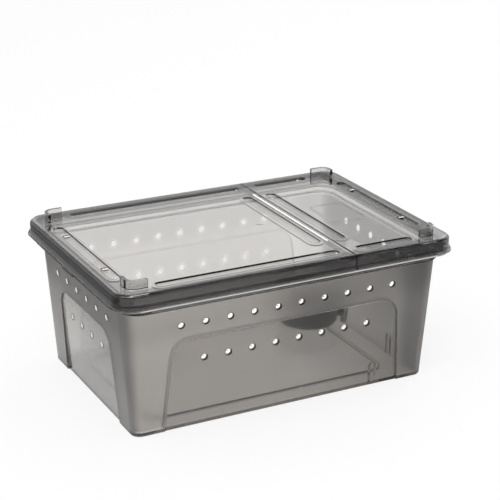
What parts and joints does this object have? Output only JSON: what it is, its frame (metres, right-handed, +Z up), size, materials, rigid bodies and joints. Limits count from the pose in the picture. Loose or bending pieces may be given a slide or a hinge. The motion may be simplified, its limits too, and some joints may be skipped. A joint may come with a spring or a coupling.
{
  "type": "plastic reptile terrarium box",
  "caption": "Stackable vented plastic tub with clear recessed windows, a wide lid and a narrow feeding lid that lift off, and a round feeding dish whose wings slide into corner rails.",
  "frame": {"origin": "middle of the foot of the box, on the surface it stands on", "axes": "+X along the length towards the feeding lid and the dish rails, +Y to the back wall, +Z up"},
  "size_m": [0.26, 0.18, 0.115],
  "materials": {
    "smoky_plastic": "translucent smoky grey, frosted outside the polished windows",
    "lid_plastic": "translucent pale smoky grey, polished",
    "black_plastic": "glossy opaque black"
  },
  "bodies": {
    "tub": {"tub": "smoky_plastic"},
    "main_lid": {"main_lid": "lid_plastic"},
    "feeding_lid": {"feeding_lid": "lid_plastic"},
    "feeding_dish": {"feeding_dish": "black_plastic"}
  },
  "joints": [
    {"name": "main_lid_lift", "type": "slide", "parent": "tub", "child": "main_lid", "axis": [0, 0, 1], "range_m": [0, 0.06]},
    {"name": "feeding_lid_lift", "type": "slide", "parent": "tub", "child": "feeding_lid", "axis": [0, 0, 1], "range_m": [0, 0.06]},
    {"name": "dish_lift", "type": "slide", "parent": "tub", "child": "feeding_dish", "axis": [0, 0, 1], "range_m": [0, 0.07]}
  ]
}
